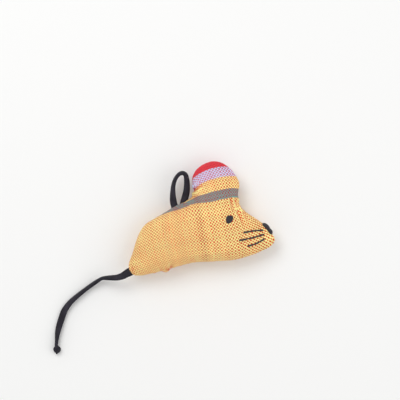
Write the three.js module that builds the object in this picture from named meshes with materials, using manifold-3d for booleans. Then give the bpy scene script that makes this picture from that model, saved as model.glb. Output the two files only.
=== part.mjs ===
// Fabric toy mouse. Two cloth panels of one outline, ear and body in one, are sewn edge to edge,
// turned and stuffed. A flat strap is caught in the seam twice: as the tail, with a knot at its end,
// and as a hang loop on the back. The eyes, whiskers and nose are embroidered.
//
// Millimetres. The toy lies on its far side: X runs from rump to nose, Y from belly to ear,
// Z up through its thickness. The origin is on the ground under the middle of the toy.

import * as THREE from "three";
import { mergeVertices } from "three/addons/utils/BufferGeometryUtils.js";
import Module from "manifold-3d";

const wasm = await Module();
wasm.setup();

// Driving dimensions

const bodyLength = 75;
const bodyHeight = 58.5;
const bodyThickness = 20;
const groundFlatDepth = 0.5;
const clothThickness = 0.8;
const seamAllowance = 3.5;
const headLength = 33;
const earHeight = 18.6;
const clearance = 0.3;

const strapWidth = 3.6;
const strapThickness = 1.7;
const strapCornerShares = { across: 0.7, through: 0.4 };
const loopReach = 13.4;
const knotWidth = 4.1;
const knotLength = 4.9;
const knotThickness = 3.6;
const knotCoreShare = 0.86;
const knotTurnShare = 0.32;
const knotTurnTilts = [24, -38];
const cutEndTwist = 30;
const cutEndShares = [[0.2, 0.7, 0.9], [0.56, 0.45, 0.6]];

const eyeWidth = 3.5;
const eyeLength = 4;
const satinThickness = 0.5;
const whiskerThread = 0.6;
const threadEndShare = 0.6;
const noseWrap = 2.2;
const noseThickness = 0.7;
const noseWrapDegrees = 58;

// The outline, clockwise from above, starting over the tail: shares of body length and height
// from the middle of the toy
const outlineShares = [
  [-0.500, -0.408], [-0.471, -0.293], [-0.449, -0.202], [-0.420, -0.115], [-0.376, -0.044],
  [-0.318, 0.005], [-0.250, 0.059], [-0.182, 0.109], [-0.121, 0.144], [-0.079, 0.179],
  [-0.061, 0.223], [-0.067, 0.287], [-0.064, 0.359], [-0.036, 0.423], [0.015, 0.476],
  [0.083, 0.500], [0.151, 0.479], [0.202, 0.430], [0.238, 0.367], [0.259, 0.306],
  [0.253, 0.247], [0.249, 0.183], [0.261, 0.129], [0.294, 0.075], [0.348, 0.019],
  [0.414, -0.046], [0.466, -0.110], [0.500, -0.185], [0.480, -0.230], [0.403, -0.285],
  [0.321, -0.328], [0.233, -0.359], [0.085, -0.376], [-0.060, -0.385], [-0.189, -0.431],
  [-0.305, -0.473], [-0.420, -0.499], [-0.470, -0.494], [-0.492, -0.456],
];
const innerCentreShare = [0.022, -0.058];

// How full the stuffing is: 0 is a soap film's round swell, larger values flatten its top. The
// swell thins towards the nose and the ear's top by its taper shares.
const firmnessShare = 0.5;
const noseTaperShare = 0.38;
const earTaperShare = 0.3;
const ringCount = 8;
const filmRingCount = 14;

const tailRootShare = [-0.488, -0.466];
const loopRootShare = [-0.155, 0.129];

// The tail's route and its twist in degrees, from its hinge in the seam to its knot. The last
// number of a point is its height as a share of the seam's, until the strap meets the ground.
const tailRoute = [
  [0, 0, 1], [-0.9, -0.55, 0.99], [-2.8, -1.6, 0.95], [-5.55, -2.4, 0.88], [-10.35, -2.65, 0.64],
  [-13.3, -3.0, 0.46], [-17.0, -5.2, 0.29], [-22.55, -9.2, 0], [-26.65, -12.5, 0],
  [-29.85, -15.5, 0], [-32.75, -19.6, 0], [-34.35, -23.9, 0], [-35.6, -28.0, 0],
  [-36.3, -31.4, 0], [-36.4, -36.1, 0],
];
const tailTwist = [0, 6, 24, 44, 66, 84, 74, 72, 62, 53, 32, 27, 38, 54, 80];

// The hang loop's route, from its front root to its rear one: shares of its reach, along the
// seam and out of it, with its twist in degrees
const loopRouteShares = [
  [0.21, 0], [0.219, 0.06], [0.257, 0.13], [0.345, 0.19], [0.460, 0.275], [0.578, 0.445],
  [0.640, 0.646], [0.630, 0.855], [0.530, 0.980], [0.370, 0.962], [0.178, 0.838], [-0.004, 0.602],
  [-0.136, 0.335], [-0.188, 0.190], [-0.207, 0.09], [-0.21, 0],
];
const loopTwist = [0, 4, 14, 30, 44, 54, 58, 62, 66, 70, 74, 72, 58, 34, 12, 0];

const eyeShare = [0.187, -0.007];
const eyeOutlineShares = [
  [-0.5, -0.12], [-0.36, 0.34], [-0.1, 0.5], [0.3, 0.5], [0.5, 0.3], [0.42, -0.1],
  [0.2, -0.4], [-0.1, -0.5], [-0.36, -0.42],
];
// The satin stitches' swell from the middle of the eye over its edge to its underside: shares of
// its outline and of its thickness
const satinProfileShares = [[0.55, 0.92], [0.9, 0.62], [1, 0.2], [0.95, 0], [0.5, 0]];
const whiskerShares = {
  upper: [[0.282, -0.122], [0.349, -0.109], [0.419, -0.103]],
  middle: [[0.251, -0.191], [0.344, -0.168], [0.425, -0.138]],
  lower: [[0.308, -0.241], [0.374, -0.214], [0.433, -0.173]],
};
const noseBarShares = {
  upper: [[0.420, -0.050], [0.450, -0.087]],
  lower: [[0.455, -0.094], [0.475, -0.131]],
};

// Meshes

const clothMaterial = new THREE.MeshStandardMaterial({ color: "#e7b676", roughness: 0.9, metalness: 0 });
const fillingMaterial = new THREE.MeshStandardMaterial({ color: "#f1efe8", roughness: 1, metalness: 0 });
const strapMaterial = new THREE.MeshStandardMaterial({ color: "#2a272d", roughness: 0.75, metalness: 0 });
const threadMaterial = new THREE.MeshStandardMaterial({ color: "#322f38", roughness: 0.55, metalness: 0 });

const mouse = new THREE.Group();

function addPiece(name, geometry, material) {
  const mesh = new THREE.Mesh(geometry, material.clone());
  mesh.name = name;
  mouse.add(mesh);
}

function middleOf(ring) {
  const middle = new THREE.Vector3();
  ring.forEach((point) => middle.add(point));
  return middle.divideScalar(ring.length);
}

// A closed solid through rings of points, each fanned shut at its end around a pole
function loft(rings, firstPole = middleOf(rings[0]), lastPole = middleOf(rings.at(-1))) {
  const count = rings[0].length;
  const points = [firstPole, ...rings.flat(), lastPole];
  const last = points.length - 1;
  const at = (ring, place) => 1 + ring * count + (place % count);
  const faces = [];
  for (let place = 0; place < count; place += 1) {
    faces.push(0, at(0, place), at(0, place + 1));
    for (let ring = 0; ring < rings.length - 1; ring += 1) {
      faces.push(at(ring, place), at(ring + 1, place), at(ring + 1, place + 1));
      faces.push(at(ring, place), at(ring + 1, place + 1), at(ring, place + 1));
    }
    faces.push(last, at(rings.length - 1, place + 1), at(rings.length - 1, place));
  }
  const geometry = new THREE.BufferGeometry().setFromPoints(points);
  geometry.setIndex(faces);
  return geometry;
}

function toSolid(geometry) {
  const bare = geometry.clone();
  bare.deleteAttribute("normal");
  bare.deleteAttribute("uv");
  const merged = mergeVertices(bare);
  const vertProperties = new Float32Array(merged.attributes.position.array);
  const triVerts = new Uint32Array(merged.index.array);
  return new wasm.Manifold(new wasm.Mesh({ numProp: 3, vertProperties, triVerts }));
}

function toGeometry(solid) {
  const mesh = solid.getMesh();
  const geometry = new THREE.BufferGeometry();
  geometry.setAttribute("position", new THREE.BufferAttribute(new Float32Array(mesh.vertProperties), 3));
  geometry.setIndex(new THREE.BufferAttribute(new Uint32Array(mesh.triVerts), 1));
  return geometry;
}

// The outline and the stuffed swell over it

const placeOnToy = ([x, y]) => new THREE.Vector3(x * bodyLength, y * bodyHeight, 0);
const innerCentre = placeOnToy(innerCentreShare);
const outlineCurve = new THREE.CatmullRomCurve3(outlineShares.map(placeOnToy).reverse(), true, "centripetal");
const around = outlineShares.length * 2;
const outline = Array.from({ length: around }, (unused, place) => outlineCurve.getPoint(place / around));

function cross2(a, b) {
  return a.x * b.y - a.y * b.x;
}

// The outline's place nearest to a point, with the seam's direction and the way out of it there
function seamAt(share) {
  const target = placeOnToy(share);
  const samplesPerPlace = 20;
  const samples = around * samplesPerPlace;
  let best = 0;
  let least = Infinity;
  for (let sample = 0; sample < samples; sample += 1) {
    const distance = outlineCurve.getPoint(sample / samples).distanceTo(target);
    if (distance < least) {
      least = distance;
      best = sample / samples;
    }
  }
  const along = outlineCurve.getTangent(best).setZ(0).normalize();
  const outward = new THREE.Vector3(along.y, -along.x, 0);
  return { share: best, point: outlineCurve.getPoint(best), along, outward };
}

// The film is the height of a soap film blown up over the outline, solved on rings of triangles
// between the inner centre and the seam. The stuffed cloth's height goes with its square root.
function solveFilm() {
  const points = [innerCentre.clone()];
  for (let ring = 1; ring <= filmRingCount; ring += 1) {
    outline.forEach((edge) => points.push(innerCentre.clone().lerp(edge, ring / filmRingCount)));
  }
  const at = (ring, place) => (ring === 0 ? 0 : 1 + (ring - 1) * around + (place % around));
  const links = points.map(() => new Map());
  const load = points.map(() => 0);
  const addTriangle = (corners) => {
    corners.forEach((corner, index) => {
      const next = corners[(index + 1) % 3];
      const opposite = points[corners[(index + 2) % 3]];
      const first = points[corner].clone().sub(opposite);
      const second = points[next].clone().sub(opposite);
      const area = Math.abs(cross2(first, second)) / 2;
      const weight = first.dot(second) / (4 * area);
      links[corner].set(next, (links[corner].get(next) ?? 0) + weight);
      links[next].set(corner, (links[next].get(corner) ?? 0) + weight);
      load[corner] += area / 3;
    });
  };
  for (let ring = 0; ring < filmRingCount; ring += 1) {
    for (let place = 0; place < around; place += 1) {
      addTriangle([at(ring, place), at(ring + 1, place), at(ring + 1, place + 1)]);
      if (ring > 0) {
        addTriangle([at(ring, place), at(ring + 1, place + 1), at(ring, place + 1)]);
      }
    }
  }
  const film = points.map(() => 0);
  const free = 1 + (filmRingCount - 1) * around;
  const overRelaxation = 1.8;
  const sweeps = 600;
  for (let sweep = 0; sweep < sweeps; sweep += 1) {
    for (let index = 0; index < free; index += 1) {
      let pull = load[index];
      let total = 0;
      links[index].forEach((weight, other) => {
        pull += weight * film[other];
        total += weight;
      });
      film[index] += overRelaxation * (pull / total - film[index]);
    }
  }
  const highest = Math.max(...film);
  return film.map((height) => height / highest);
}

const film = solveFilm();

// The film's share at a share of the way from the inner centre to the outline at one place
function filmAt(outwardShare, place) {
  const ring = Math.min(Math.floor(outwardShare * filmRingCount), filmRingCount - 1);
  const blend = outwardShare * filmRingCount - ring;
  const at = (index) => (index === 0 ? film[0] : film[1 + (index - 1) * around + (place % around)]);
  return at(ring) * (1 - blend) + at(ring + 1) * blend;
}

function swellOf(filmShare, x, y) {
  const round = Math.sqrt(Math.max(filmShare, 0));
  const softened = round / (1 + firmnessShare * round ** 4) ** 0.25;
  const towardsNose = THREE.MathUtils.smoothstep(x, bodyLength / 2 - headLength, bodyLength / 2);
  const towardsEarTop = THREE.MathUtils.smoothstep(y, 0, bodyHeight / 2);
  const taper = (1 - noseTaperShare * towardsNose) * (1 - earTaperShare * towardsEarTop);
  return (bodyThickness / 2) * softened * (1 + firmnessShare) ** 0.25 * taper;
}

// The cloth's height over the seam at any point inside the outline
function swellAt(x, y) {
  const point = new THREE.Vector3(x, y, 0).sub(innerCentre);
  const wedges = outline.map((edge, place) => {
    const first = edge.clone().sub(innerCentre);
    const second = outline[(place + 1) % around].clone().sub(innerCentre);
    const wide = cross2(first, second);
    return { place, a: cross2(point, second) / wide, b: cross2(first, point) / wide };
  });
  const insideness = (wedge) => Math.min(wedge.a, wedge.b);
  const { place, a, b } = wedges.reduce((best, wedge) => (
    insideness(wedge) > insideness(best) ? wedge : best
  ));
  const outwardShare = Math.min(a + b, 1);
  const blend = a + b > 0 ? b / (a + b) : 0;
  const low = filmAt(outwardShare, place);
  const high = filmAt(outwardShare, place + 1);
  return swellOf(low * (1 - blend) + high * blend, x, y);
}

const seamHeight = bodyThickness / 2 + clearance / 2 - groundFlatDepth;

// Rings of points on the near cloth with the way out of it at each, closer together near the seam
function clothRings() {
  const rings = [];
  for (let ring = 1; ring <= ringCount; ring += 1) {
    const outwardShare = Math.sin((ring / ringCount) * (Math.PI / 2));
    rings.push(outline.map((edge, place) => {
      const point = innerCentre.clone().lerp(edge, outwardShare);
      point.z = ring === ringCount ? 0 : swellOf(filmAt(outwardShare, place), point.x, point.y);
      return { point, out: new THREE.Vector3() };
    }));
  }
  const top = innerCentre.clone();
  top.setZ(swellOf(filmAt(0, 0), top.x, top.y));
  const pointAt = (ring, place) => {
    if (ring < 0) {
      return top;
    }
    if (ring === ringCount) {
      return rings[ringCount - 2][place].point.clone().multiply(new THREE.Vector3(1, 1, -1));
    }
    return rings[ring][place].point;
  };
  rings.forEach((row, ring) => row.forEach((item, place) => {
    const outward = pointAt(ring + 1, place).clone().sub(pointAt(ring - 1, place));
    const onward = row[(place + 1) % around].point.clone().sub(row[(place + around - 1) % around].point);
    item.out.crossVectors(outward, onward).normalize();
  }));
  return { rings, top: { point: top, out: new THREE.Vector3(0, 0, 1) } };
}

const cloth = clothRings();

// One side's copy of a near point that lies a depth inside the cloth
function clothPoint(item, depth, side) {
  const inside = item.point.clone().addScaledVector(item.out, -depth);
  const height = seamHeight + side * (inside.z + clearance / 2);
  return inside.setZ(Math.max(height, depth));
}

// A ring inside the seam: the outline drawn in towards the inner centre by a distance measured
// square to the seam, or less where the seam runs nearly along the way in
const leastSquareShare = 0.4;

function drawnInRing(distance, height) {
  return outline.map((edge, place) => {
    const inward = innerCentre.clone().sub(edge).normalize();
    const along = outline[(place + 1) % around].clone().sub(outline[(place + around - 1) % around]);
    const square = Math.max(Math.abs(cross2(inward, along.normalize())), leastSquareShare);
    return edge.clone().addScaledVector(inward, distance / square).setZ(height);
  });
}

// Sewn-in straps

function turnedSection(centre, along, twist, width, thickness) {
  const up = new THREE.Vector3(0, 0, 1);
  const flatUp = up.addScaledVector(along, -up.dot(along)).normalize();
  const flatAcross = new THREE.Vector3().crossVectors(flatUp, along);
  const angle = THREE.MathUtils.degToRad(twist);
  const across = flatAcross.clone().applyAxisAngle(along, angle);
  const through = flatUp.clone().applyAxisAngle(along, angle);
  const { across: a0, through: b0 } = strapCornerShares;
  const corners = [[1, -b0], [a0, -1], [-a0, -1], [-1, -b0], [-1, b0], [-a0, 1], [a0, 1], [1, b0]];
  return corners.map(([a, b]) => centre.clone()
    .addScaledVector(across, (a * width) / 2)
    .addScaledVector(through, (b * thickness) / 2));
}

// A strap along a route, laid on the ground where it would pass below it. Its rooted ends are
// rounded about their hinge line, so that they turn clear of the seam.
function strap(route, twists, steps, roundStart, roundEnd) {
  const curve = new THREE.CatmullRomCurve3(route, false, "centripetal");
  const sections = [];
  const addSection = (share, beyond, thinning) => {
    const along = curve.getTangent(share);
    const centre = curve.getPoint(share).addScaledVector(along, beyond);
    const place = share * (route.length - 1);
    const index = Math.min(Math.floor(place), route.length - 2);
    const twist = THREE.MathUtils.lerp(twists[index], twists[index + 1], place - index);
    const section = turnedSection(centre, along, twist, strapWidth, strapThickness * thinning);
    const lowest = Math.min(...section.map((point) => point.z));
    section.forEach((point) => point.setZ(point.z + Math.max(-lowest, 0)));
    sections.push(section);
  };
  const roundingAngles = [80, 50, 25];
  const round = (share, sign, angle) => {
    const radians = THREE.MathUtils.degToRad(angle);
    addSection(share, (sign * Math.sin(radians) * strapThickness) / 2, Math.cos(radians));
  };
  if (roundStart) {
    roundingAngles.forEach((angle) => round(0, -1, angle));
  }
  for (let step = 0; step <= steps; step += 1) {
    addSection(step / steps, 0, 1);
  }
  if (roundEnd) {
    roundingAngles.toReversed().forEach((angle) => round(1, 1, angle));
  }
  return loft(sections);
}

// The end that lies in the seam, between the two allowances, as long as they are wide
function sewnEnd(root, outward, spare) {
  const start = root.clone().addScaledVector(outward, spare);
  const end = root.clone().addScaledVector(outward, -seamAllowance - spare);
  const section = (centre) => turnedSection(
    centre,
    outward.clone().negate(),
    0,
    strapWidth + 2 * spare,
    strapThickness + 2 * spare,
  );
  return loft([section(start), section(end)]);
}

const hingeReach = strapThickness / 2 + clearance;

function tail() {
  const seam = seamAt(tailRootShare);
  const root = seam.point.clone().setZ(seamHeight);
  const hinge = root.clone().addScaledVector(seam.outward, hingeReach);
  const route = tailRoute.map(([x, y, heightShare]) => new THREE.Vector3(
    hinge.x + x,
    hinge.y + y,
    heightShare * seamHeight,
  ));
  const steps = 24;
  addPiece("tail", strap(route, tailTwist, steps, true, false), strapMaterial);
  addPiece("tail_sewn_end", sewnEnd(root, seam.outward, 0), strapMaterial);
  addPiece("tail_knot", knot(route.at(-1), route.at(-1).clone().sub(route.at(-2))), strapMaterial);
  return [{ root, outward: seam.outward }];
}

// The knot: the strap's two turns round its core, with the cut end showing below
function knot(strapEnd, strapAlong) {
  const core = new THREE.SphereGeometry(knotCoreShare / 2, 12, 8);
  core.scale(knotWidth, knotLength, knotThickness);
  const turns = knotTurnTilts.map((tilt) => {
    const turn = new THREE.TorusGeometry(1, knotTurnShare, 6, 14);
    const reach = 2 * (1 + knotTurnShare);
    turn.rotateX(Math.PI / 2);
    turn.scale(knotWidth / reach, (knotLength / reach) * (2 * knotTurnShare), knotThickness / reach);
    turn.rotateZ(THREE.MathUtils.degToRad(tilt));
    return toSolid(turn);
  });
  const cutEndAlong = new THREE.Vector3(knotWidth / 4, -knotLength, 0).normalize();
  const cutEnd = cutEndShares.map(([reachShare, widthShare, thicknessShare]) => turnedSection(
    cutEndAlong.clone().multiplyScalar(reachShare * knotLength),
    cutEndAlong,
    cutEndTwist,
    widthShare * strapWidth,
    thicknessShare * strapThickness,
  ));
  const solid = turns.reduce((sum, turn) => sum.add(turn), toSolid(core)).add(toSolid(loft(cutEnd)));
  const geometry = toGeometry(solid);
  geometry.computeBoundingBox();
  const { min, max } = geometry.boundingBox;
  const centre = strapEnd.clone().addScaledVector(strapAlong.setZ(0).normalize(), max.y + clearance);
  geometry.translate(centre.x, centre.y, -min.z);
  return geometry;
}

function hangLoop() {
  const seam = seamAt(loopRootShare);
  const middle = seam.point.clone().setZ(seamHeight).addScaledVector(seam.outward, hingeReach);
  const route = loopRouteShares.map(([along, out]) => middle.clone()
    .addScaledVector(seam.along, -along * loopReach)
    .addScaledVector(seam.outward, out * loopReach));
  const steps = 28;
  addPiece("hang_loop", strap(route, loopTwist, steps, true, true), strapMaterial);
  const spread = loopRouteShares[0][0] * loopReach;
  return [["front", -1], ["rear", 1]].map(([name, sign]) => {
    const root = seam.point.clone().setZ(seamHeight).addScaledVector(seam.along, sign * spread);
    addPiece(`loop_sewn_end_${name}`, sewnEnd(root, seam.outward, 0), strapMaterial);
    return { root, outward: seam.outward };
  });
}

// Cloth panels, each turned in along the seam, with a notch where a strap passes between them
function panel(name, side, strapEnds) {
  const seamFace = seamHeight + (side * clearance) / 2;
  const turnedIn = seamFace + side * clothThickness;
  const outer = cloth.rings.map((row) => row.map((item) => clothPoint(item, 0, side)));
  const inner = cloth.rings.slice(0, -1).reverse();
  const rings = [
    ...outer,
    drawnInRing(seamAllowance, seamFace),
    drawnInRing(seamAllowance, turnedIn),
    ...inner.map((row) => row.map((item) => clothPoint(item, clothThickness, side))),
  ];
  const poles = [0, clothThickness].map((depth) => clothPoint(cloth.top, depth, side));
  const turned = side > 0 ? rings : rings.map((ring) => ring.toReversed());
  let solid = toSolid(loft(turned, ...poles));
  strapEnds.forEach(({ root, outward }) => {
    solid = solid.subtract(toSolid(sewnEnd(root, outward, clearance)));
  });
  addPiece(name, toGeometry(solid), clothMaterial);
}

// Stuffing: one wad inside both panels, clear of the turned-in edges, cut into the body's,
// the head's and the ear's
function stuffing() {
  const depth = clothThickness + clearance;
  const rows = cloth.rings.slice(0, -2);
  const pole = (side) => clothPoint(cloth.top, depth, side);
  const edgeHeight = clearance / 2 + clothThickness + clearance;
  const rings = [
    ...rows.map((row) => row.map((item) => clothPoint(item, depth, 1))),
    drawnInRing(seamAllowance + clearance, seamHeight + edgeHeight),
    drawnInRing(seamAllowance + clearance, seamHeight - edgeHeight),
    ...rows.toReversed().map((row) => row.map((item) => clothPoint(item, depth, -1))),
  ];
  const wad = toSolid(loft(rings, pole(1), pole(-1)));
  const earLine = bodyHeight / 2 - earHeight;
  const headLine = bodyLength / 2 - headLength;
  const half = clearance / 2;
  const regionBetween = (left, right, low, high) => {
    const box = new THREE.BoxGeometry(right - left, high - low, 2 * bodyThickness);
    box.translate((left + right) / 2, (low + high) / 2, bodyThickness / 2);
    return toSolid(box);
  };
  const regions = {
    ear_stuffing: regionBetween(-bodyLength, bodyLength, earLine + half, bodyHeight),
    head_stuffing: regionBetween(headLine + half, bodyLength, -bodyHeight, earLine - half),
    body_stuffing: regionBetween(-bodyLength, headLine - half, -bodyHeight, earLine - half),
  };
  Object.entries(regions).forEach(([name, region]) => {
    addPiece(name, toGeometry(wad.intersect(region)), fillingMaterial);
  });
}

// Embroidery

// A point over the cloth at a height measured square to it, on one side of the toy
function overCloth(x, y, height, side) {
  const step = clothThickness / 2;
  const slopeX = (swellAt(x + step, y) - swellAt(x - step, y)) / (2 * step);
  const slopeY = (swellAt(x, y + step) - swellAt(x, y - step)) / (2 * step);
  const out = new THREE.Vector3(-slopeX, -slopeY, 1).normalize();
  const point = new THREE.Vector3(x, y, swellAt(x, y)).addScaledVector(out, height);
  return point.setZ(seamHeight + side * (point.z + clearance / 2));
}

function eye(name, side) {
  const centre = placeOnToy(eyeShare);
  const curve = new THREE.CatmullRomCurve3(
    eyeOutlineShares.map(([x, y]) => new THREE.Vector3(x * eyeWidth, y * eyeLength, 0)),
    true,
  );
  const count = 18;
  const edge = Array.from({ length: count }, (unused, place) => curve.getPoint(-place / count + 1));
  const ringAt = (share, height) => edge.map((point) => overCloth(
    centre.x + point.x * share,
    centre.y + point.y * share,
    height,
    side,
  ));
  const crown = clearance + satinThickness;
  const rings = satinProfileShares.map(([share, heightShare]) => (
    ringAt(share, clearance + satinThickness * heightShare)
  ));
  const turned = side > 0 ? rings : rings.map((ring) => ring.toReversed());
  const poles = [crown, clearance].map((height) => overCloth(centre.x, centre.y, height, side));
  addPiece(name, loft(turned, ...poles), threadMaterial);
}

function whisker(name, shares, side) {
  const radius = whiskerThread / 2;
  const curve = new THREE.CatmullRomCurve3(shares.map(placeOnToy));
  const steps = 9;
  const sides = 6;
  const rings = [];
  for (let step = 0; step <= steps; step += 1) {
    const centre = curve.getPoint(step / steps);
    const along = curve.getTangent(step / steps);
    const across = new THREE.Vector3(-along.y, along.x, 0);
    const thinning = step === 0 || step === steps ? threadEndShare : 1;
    rings.push(Array.from({ length: sides }, (unused, place) => {
      const angle = (place / sides) * 2 * Math.PI;
      const off = across.clone().multiplyScalar(Math.cos(angle) * radius * thinning);
      const height = clearance + radius + Math.sin(angle) * radius * thinning;
      return overCloth(centre.x + off.x, centre.y + off.y, height, side);
    }));
  }
  const turned = side > 0 ? rings.map((ring) => ring.toReversed()) : rings;
  addPiece(name, loft(turned), threadMaterial);
}

// A nose bar: satin stitches that wrap the snout's edge from the near side to the far one
function noseBar(name, shares) {
  const [from, to] = shares.map((share) => seamAt(share).share);
  const places = [0, 0.2, 0.4, 0.6, 0.8, 1];
  const wraps = [-1, -0.6, -0.25, 0, 0.25, 0.6, 1];
  const overSeam = (place, wrap, height) => {
    const share = THREE.MathUtils.lerp(from, to, place);
    const along = outlineCurve.getTangent(share);
    const inward = new THREE.Vector3(-along.y, along.x, 0);
    const drawn = outlineCurve.getPoint(share).addScaledVector(inward, noseWrap * wrap ** 2);
    const angle = THREE.MathUtils.degToRad(noseWrapDegrees * wrap);
    const out = inward.multiplyScalar(-Math.cos(angle)).setZ(Math.sin(angle));
    const swell = wrap === 0 ? 0 : swellAt(drawn.x, drawn.y) + clearance / 2;
    return drawn.setZ(seamHeight + Math.sign(wrap) * swell).addScaledVector(out, height);
  };
  const fullness = (place) => (place === 0 || place === 1 ? threadEndShare : 1);
  const rings = wraps.map((wrap) => {
    const inner = places.map((place) => overSeam(place, wrap, clearance));
    const outer = places.map((place) => overSeam(place, wrap, clearance + noseThickness * fullness(place)));
    return [...outer, ...inner.reverse()];
  });
  addPiece(name, loft(rings), threadMaterial);
}

const strapEnds = [...tail(), ...hangLoop()];
panel("near_panel", 1, strapEnds);
panel("far_panel", -1, strapEnds);
stuffing();
[["near", 1], ["far", -1]].forEach(([sideName, side]) => {
  eye(`${sideName}_eye`, side);
  Object.entries(whiskerShares).forEach(([place, shares]) => {
    whisker(`${sideName}_whisker_${place}`, shares, side);
  });
});
Object.entries(noseBarShares).forEach(([place, shares]) => noseBar(`nose_bar_${place}`, shares));

export default mouse;
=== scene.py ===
"""Looks of the fabric toy mouse.

The toy is two panels of striped cotton, sewn round the edge, turned and stuffed. A flat lace is
caught in the seam as the tail and again as a hang loop, and the face is embroidered.
Shapes are worked out in millimetres, with +Z up, and add_piece turns them into metres.
"""
import math

import bmesh
import bpy
import numpy as np
from mathutils import Matrix, Vector, noise
from mathutils.bvhtree import BVHTree
from mathutils.kdtree import KDTree


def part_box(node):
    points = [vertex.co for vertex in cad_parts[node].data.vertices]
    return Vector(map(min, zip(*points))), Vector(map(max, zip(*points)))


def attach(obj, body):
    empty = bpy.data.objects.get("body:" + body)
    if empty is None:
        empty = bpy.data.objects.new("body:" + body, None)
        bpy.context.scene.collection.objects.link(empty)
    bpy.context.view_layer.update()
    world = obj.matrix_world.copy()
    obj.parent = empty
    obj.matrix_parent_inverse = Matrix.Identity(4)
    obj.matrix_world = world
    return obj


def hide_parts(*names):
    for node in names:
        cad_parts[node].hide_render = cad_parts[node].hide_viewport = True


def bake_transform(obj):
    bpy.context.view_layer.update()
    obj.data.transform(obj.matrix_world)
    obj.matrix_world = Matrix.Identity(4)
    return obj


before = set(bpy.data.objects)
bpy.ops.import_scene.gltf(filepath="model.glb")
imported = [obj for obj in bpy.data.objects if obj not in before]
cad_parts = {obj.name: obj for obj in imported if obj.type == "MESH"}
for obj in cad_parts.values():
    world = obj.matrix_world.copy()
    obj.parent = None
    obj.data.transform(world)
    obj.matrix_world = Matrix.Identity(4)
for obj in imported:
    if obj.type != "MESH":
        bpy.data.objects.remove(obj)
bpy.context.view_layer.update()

MM = 0.001
UP = Vector((0, 0, 1))
SEAM_HEIGHT = 9.65
# Higher above the ground than anything on the toy
OVER_ALL = 40

# The line along which the two panels are sewn, clockwise from above, starting over the tail
SEAM_OUTLINE = [
    (-37.6, -23.9), (-35.5, -17.0), (-33.9, -11.7), (-31.8, -6.5), (-28.5, -2.3),
    (-23.9, 0.3), (-18.6, 3.2), (-13.7, 6.4), (-9.1, 8.4), (-5.9, 10.5), (-4.6, 13.0),
    (-5.0, 16.8), (-5.2, 21.1), (-3.1, 25.1), (0.9, 28.1), (6.2, 29.6), (11.4, 28.2),
    (15.2, 25.2), (17.9, 21.5), (19.4, 17.9), (18.9, 14.4), (18.6, 10.7), (19.6, 7.5),
    (21.8, 4.2), (26.15, 1.15), (31.35, -2.2), (35.15, -6.25), (37.7, -10.8), (36.3, -13.8),
    (30.4, -17.2), (24.2, -19.5), (17.6, -21.4), (6.4, -22.3), (-4.4, -23.0),
    (-14.2, -25.3), (-22.9, -27.7), (-31.5, -29.6), (-35.2, -29.0), (-36.9, -26.7),
]
# The place under the crown, which the outline is drawn in to
CROWN = Vector((1.65, -3.4, 0))

# The lace of the tail and of the hang loop
LACE_WIDTH = 3.6
LACE_THICKNESS = 1.7

# Where the tail leaves the seam, and its way out there. Its route runs from there over the ground's
# plane, with each point's height over the ground, and its twist, in degrees, turns it on edge.
TAIL_HINGE = Vector((-37.653, -27.769, SEAM_HEIGHT))
TAIL_OUT = Vector((-0.8914, -0.4531, 0))
TAIL_ROUTE = [
    (0, 0, 9.65), (-0.9, -0.55, 9.55), (-2.8, -1.6, 9.17), (-5.55, -2.4, 8.49),
    (-10.35, -2.65, 6.18), (-13.3, -3.0, 4.44), (-17.0, -5.2, 2.8), (-22.55, -9.2, 0),
    (-26.65, -12.5, 0), (-29.85, -15.5, 0), (-32.75, -19.6, 0), (-34.35, -23.9, 0),
    (-35.6, -28.0, 0), (-36.35, -31.4, 0), (-36.85, -36.1, 0),
]
TAIL_TWIST = [0, 6, 24, 44, 66, 84, 74, 72, 62, 53, 32, 27, 38, 54, 80]

# The middle of the hang loop's stitches, and the ways along the seam and out from it. The loop's
# route is in shares of its reach, along and out.
LOOP_HINGE = Vector((-11.964, 8.385, SEAM_HEIGHT))
LOOP_ALONG = Vector((0.9248, 0.3804, 0))
LOOP_OUT = Vector((-0.3804, 0.9248, 0))
LOOP_REACH = 13.4
LOOP_ROUTE = [
    (0.13, -0.16), (0.196, -0.075), (0.257, 0.003), (0.323, 0.087), (0.395, 0.185),
    (0.462, 0.29), (0.525, 0.42), (0.583, 0.56), (0.626, 0.7), (0.645, 0.82), (0.618, 0.91),
    (0.545, 0.963), (0.44, 0.965), (0.31, 0.908), (0.18, 0.803), (0.06, 0.645),
    (-0.035, 0.46), (-0.105, 0.29), (-0.155, 0.14), (-0.185, 0), (-0.2, -0.16),
]
LOOP_TWIST = [
    0, 2, 8, 14, 22, 30, 40, 50, 58, 64, 68, 70, 74, 76, 74, 68, 58, 44, 26, 8, 0,
]


# Camera: a long lens straight above, as the photograph was taken

CAMERA_PLACE = (-0.92, 9.36, 1426)
CAMERA_LENS = 250

camera_data = bpy.data.cameras.new("camera")
camera_data.lens = CAMERA_LENS
camera_data.sensor_width = 36
camera_data.clip_start = 0.01
camera_data.clip_end = 20
camera = bpy.data.objects.new("camera", camera_data)
camera.location = [c * MM for c in CAMERA_PLACE]
bpy.context.collection.objects.link(camera)
bpy.context.scene.camera = camera


# Lines and swept laces

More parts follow.
